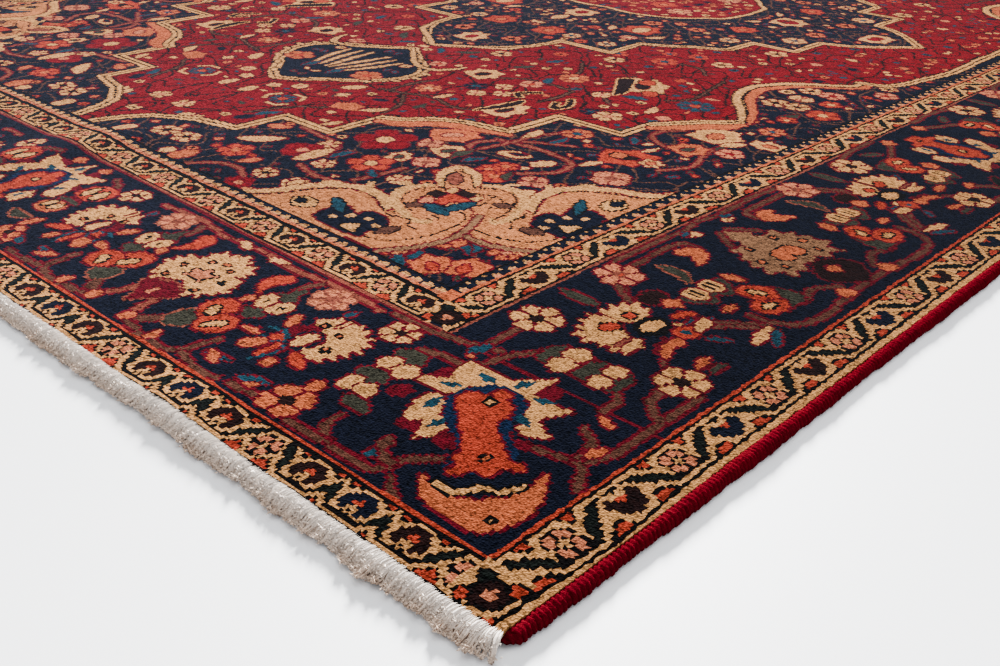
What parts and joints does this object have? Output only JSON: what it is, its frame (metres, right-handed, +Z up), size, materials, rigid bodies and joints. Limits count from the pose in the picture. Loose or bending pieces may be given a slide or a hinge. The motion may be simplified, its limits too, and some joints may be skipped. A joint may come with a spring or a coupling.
{
  "type": "knotted pile carpet with overcast selvedges and fringed ends",
  "caption": "Flat rectangular hand-knotted wool carpet with overcast long sides and short cotton fringes, to lie on a floor.",
  "frame": {"origin": "middle of the carpet's outline, on the floor that it lies on", "axes": "+Z up from the floor, +Y along the length towards the far end, +X across the width"},
  "size_m": [2.0956, 3.263, 0.0145],
  "materials": {
    "pile": "dense cut wool pile, matt with a soft sheen, crimson field with navy borders and ivory, peach and orange motifs",
    "backing": "flat knotted back, wool knots between cotton wefts",
    "selvedge": "crimson wool overcasting, wound side by side",
    "fringe": "undyed cotton warp ends, greyer at the cut ends"
  },
  "bodies": {
    "root": {"rug_body": "pile", "selvedge_right": "selvedge", "selvedge_left": "selvedge", "fringe_near": "fringe", "fringe_far": "fringe"}
  },
  "joints": []
}
